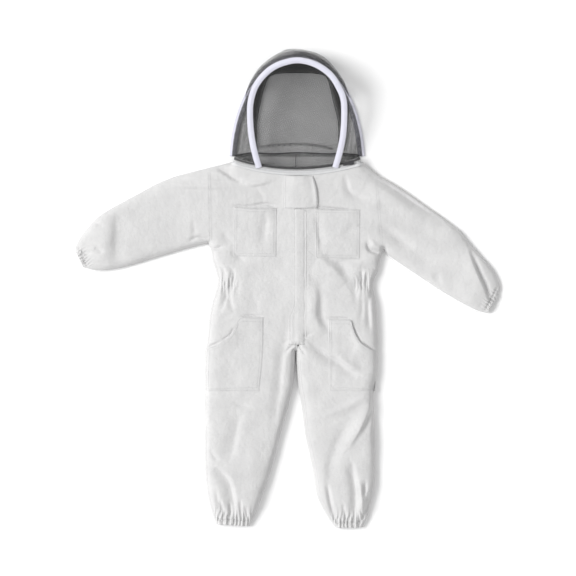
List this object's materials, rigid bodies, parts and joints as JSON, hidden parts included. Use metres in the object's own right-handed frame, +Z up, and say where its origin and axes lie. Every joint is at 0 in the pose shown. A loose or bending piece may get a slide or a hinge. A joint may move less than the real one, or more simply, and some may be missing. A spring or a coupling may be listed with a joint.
{
  "type": "beekeeping suit",
  "caption": "Child's white cotton beekeeping coverall with a hooped mesh veil hood, laid out flat on its back, with patch pockets, covered front zip and elasticated waist, wrists and ankles.",
  "frame": {"origin": "on the surface that the suit lies on, under the middle of its waist", "axes": "+X towards the wearer's left, +Y from the legs to the hood, +Z up from the surface, out of the front of the suit"},
  "size_m": [1.169, 1.3201, 0.1316],
  "materials": {
    "white_cotton": "matt cotton twill",
    "binding_tape": "folded cotton tape",
    "hoop_tape": "smooth woven tape",
    "veil_mesh": "fine black netting",
    "zip_tape": "woven zip tape",
    "zip_coil": "nylon coil",
    "zip_metal": "die cast, plated",
    "hook_and_loop": "touch fastener",
    "elastic": "covered elastic",
    "spring_wire": "spring steel"
  },
  "bodies": {
    "torso": {"back_panel": "white_cotton", "front_right_panel": "white_cotton", "front_left_panel": "white_cotton", "neck_binding": "binding_tape", "neck_zip_lower_tape": "zip_tape", "neck_zip_coil": "zip_coil", "main_zip_right_tape": "zip_tape", "main_zip_left_tape": "zip_tape", "main_zip_coil": "zip_coil", "main_zip_stops": "zip_metal", "storm_flap_facing": "white_cotton", "throat_flap_facing": "white_cotton", "throat_loop_patch": "hook_and_loop", "right_chest_pocket": "white_cotton", "left_chest_pocket": "white_cotton", "right_hip_pocket": "white_cotton", "left_hip_pocket": "white_cotton", "right_waist_elastic": "elastic", "left_waist_elastic": "elastic"},
    "right_sleeve": {"right_sleeve": "white_cotton", "right_cuff_elastic": "elastic"},
    "left_sleeve": {"left_sleeve": "white_cotton", "left_cuff_elastic": "elastic"},
    "right_leg": {"right_leg": "white_cotton", "right_ankle_elastic": "elastic"},
    "left_leg": {"left_leg": "white_cotton", "left_ankle_elastic": "elastic"},
    "storm_flap": {"storm_flap": "white_cotton"},
    "throat_flap": {"throat_flap": "white_cotton", "throat_hook_patch": "hook_and_loop"},
    "main_zip_slider": {"main_zip_slider": "zip_metal", "main_zip_pull": "zip_metal"},
    "neck_zip_slider": {"neck_zip_slider": "zip_metal"},
    "neck_zip_pull": {"neck_zip_pull": "zip_metal"},
    "hood": {"nape_gusset": "veil_mesh", "back_veil": "veil_mesh", "rear_hoop_wire": "spring_wire", "rear_hoop_casing": "hoop_tape", "neck_zip_upper_tape": "zip_tape", "right_side_veil": "veil_mesh", "left_side_veil": "veil_mesh", "crown_veil": "veil_mesh"},
    "front_hoop": {"front_hoop_wire": "spring_wire", "front_hoop_casing": "hoop_tape", "face_veil": "veil_mesh"}
  },
  "joints": [
    {"name": "right_sleeve_swing", "type": "hinge", "parent": "torso", "child": "right_sleeve", "pos_m": [-0.2395, 0.21825, 0.015], "axis": [0, 0, 1], "range_deg": [-12, 12]},
    {"name": "left_sleeve_swing", "type": "hinge", "parent": "torso", "child": "left_sleeve", "pos_m": [0.23695, 0.2015, 0.015], "axis": [0, 0, 1], "range_deg": [-12, 12]},
    {"name": "right_leg_spread", "type": "hinge", "parent": "torso", "child": "right_leg", "pos_m": [-0.123, -0.183, 0.017], "axis": [0, 0, -1], "range_deg": [0, 10]},
    {"name": "left_leg_spread", "type": "hinge", "parent": "torso", "child": "left_leg", "pos_m": [0.114, -0.183, 0.017], "axis": [0, 0, 1], "range_deg": [0, 10]},
    {"name": "storm_flap_open", "type": "hinge", "parent": "torso", "child": "storm_flap", "pos_m": [0.0268, 0.0275, 0.0422], "axis": [0, 1, 0], "range_deg": [0, 165]},
    {"name": "throat_flap_open", "type": "hinge", "parent": "torso", "child": "throat_flap", "pos_m": [-0.0278, 0.255, 0.0422], "axis": [0, -1, 0], "range_deg": [0, 168]},
    {"name": "main_zip_slide", "type": "slide", "parent": "torso", "child": "main_zip_slider", "axis": [0, -1, 0], "range_m": [0, 0.43]},
    {"name": "neck_zip_slide", "type": "hinge", "parent": "torso", "child": "neck_zip_slider", "pos_m": [0.006, 0.8935, 0.036], "axis": [0, 0, -1], "range_deg": [0, 30]},
    {"name": "neck_zip_pull_flip", "type": "hinge", "parent": "neck_zip_slider", "child": "neck_zip_pull", "pos_m": [0.15573, 0.33471, 0.0389], "axis": [-0.2588, 0.9659, 0], "range_deg": [0, 150]},
    {"name": "hood_fold", "type": "hinge", "parent": "torso", "child": "hood", "pos_m": [0.006, 0.322, 0.04], "axis": [1, 0, 0], "range_deg": [0, 100]},
    {"name": "front_hoop_lift", "type": "hinge", "parent": "hood", "child": "front_hoop", "pos_m": [0.006, 0.338, 0.042], "axis": [1, 0, 0], "range_deg": [0, 25], "deforming": ["crown_veil", "right_side_veil", "left_side_veil"]}
  ]
}
